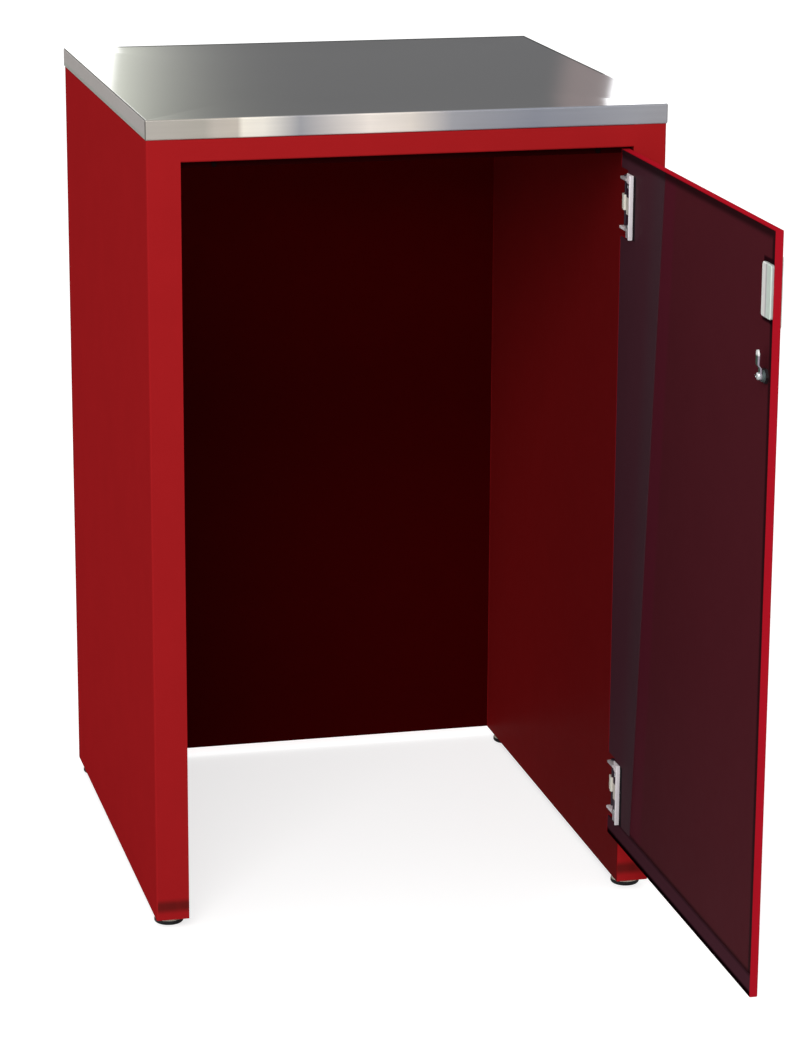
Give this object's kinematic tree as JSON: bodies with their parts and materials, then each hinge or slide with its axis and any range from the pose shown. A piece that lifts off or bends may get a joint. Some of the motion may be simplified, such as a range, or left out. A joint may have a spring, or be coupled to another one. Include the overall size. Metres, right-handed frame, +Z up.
{
  "type": "tool chest side locker",
  "caption": "Floorless double-walled steel side locker with a stainless wrapped worktop, a right-hung inset door, hidden hinges, a recessed pull, a cam lock and levelling feet.",
  "frame": {"origin": "on the floor under the middle of the cabinet's footprint", "axes": "+X to the right seen from the front, +Y towards the back, +Z up; the door opens towards -Y"},
  "size_m": [0.61, 1.1262, 0.965],
  "materials": {
    "red_powder_coat": "smooth glossy red powder coat",
    "dark_powder_coat": "darker maroon powder coat inside",
    "stainless_steel": "brushed stainless sheet, grain along the front edge",
    "board": "raw fibre board, hidden",
    "zinc_plate": "bright zinc plate",
    "nickel_plate": "satin nickel plate",
    "foot_plastic": "black moulded plastic",
    "soft_rubber": "matt black rubber"
  },
  "bodies": {
    "cabinet": {"back_panel": "red_powder_coat", "back_panel_screws": "zinc_plate", "door_bumpers": "soft_rubber", "foot_weld_nuts": "zinc_plate", "header_rail": "red_powder_coat", "hinge_bracket_lower": "zinc_plate", "hinge_bracket_upper": "zinc_plate", "inner_side_left": "dark_powder_coat", "inner_side_right": "dark_powder_coat", "outer_side_left": "red_powder_coat", "outer_side_right": "red_powder_coat", "rear_rail": "dark_powder_coat", "sole_channel_left": "dark_powder_coat", "sole_channel_right": "dark_powder_coat", "top_channel_left": "dark_powder_coat", "top_channel_right": "dark_powder_coat", "worktop_board": "board", "worktop_screws": "zinc_plate", "worktop_skin": "stainless_steel"},
    "door": {"door_hat_hinge_side": "dark_powder_coat", "door_hat_lock_side": "dark_powder_coat", "door_inner_panel": "dark_powder_coat", "door_outer_panel": "red_powder_coat", "door_stiffener": "dark_powder_coat", "hinge_leaf_lower": "zinc_plate", "hinge_leaf_screws": "zinc_plate", "hinge_leaf_upper": "zinc_plate", "hinge_pin_lower": "zinc_plate", "hinge_pin_upper": "zinc_plate", "lock_body": "nickel_plate", "lock_nut": "nickel_plate", "pull_cup": "nickel_plate", "pull_screws": "nickel_plate"},
    "lock": {"lock_plug": "nickel_plate", "lock_cam": "nickel_plate", "lock_cam_screw": "nickel_plate"},
    "foot_front_left": {"foot_lock_nut_front_left": "zinc_plate", "foot_pad_front_left": "foot_plastic", "foot_stud_front_left": "zinc_plate"},
    "foot_front_right": {"foot_lock_nut_front_right": "zinc_plate", "foot_pad_front_right": "foot_plastic", "foot_stud_front_right": "zinc_plate"},
    "foot_rear_left": {"foot_lock_nut_rear_left": "zinc_plate", "foot_pad_rear_left": "foot_plastic", "foot_stud_rear_left": "zinc_plate"},
    "foot_rear_right": {"foot_lock_nut_rear_right": "zinc_plate", "foot_pad_rear_right": "foot_plastic", "foot_stud_rear_right": "zinc_plate"}
  },
  "joints": [
    {"name": "door_hinge", "type": "hinge", "parent": "cabinet", "child": "door", "pos_m": [0.258, -0.2995, 0.4945], "axis": [0, 0, 1], "range_deg": [-90, 15]},
    {"name": "lock_turn", "type": "hinge", "parent": "door", "child": "lock", "pos_m": [0.258, -0.8026, 0.7585], "axis": [1, 0, 0], "range_deg": [0, 90]},
    {"name": "foot_front_left_height", "type": "slide", "parent": "cabinet", "child": "foot_front_left", "axis": [0, 0, -1], "range_m": [0, 0.015]},
    {"name": "foot_front_right_height", "type": "slide", "parent": "cabinet", "child": "foot_front_right", "axis": [0, 0, -1], "range_m": [0, 0.015]},
    {"name": "foot_rear_left_height", "type": "slide", "parent": "cabinet", "child": "foot_rear_left", "axis": [0, 0, -1], "range_m": [0, 0.015]},
    {"name": "foot_rear_right_height", "type": "slide", "parent": "cabinet", "child": "foot_rear_right", "axis": [0, 0, -1], "range_m": [0, 0.015]}
  ]
}
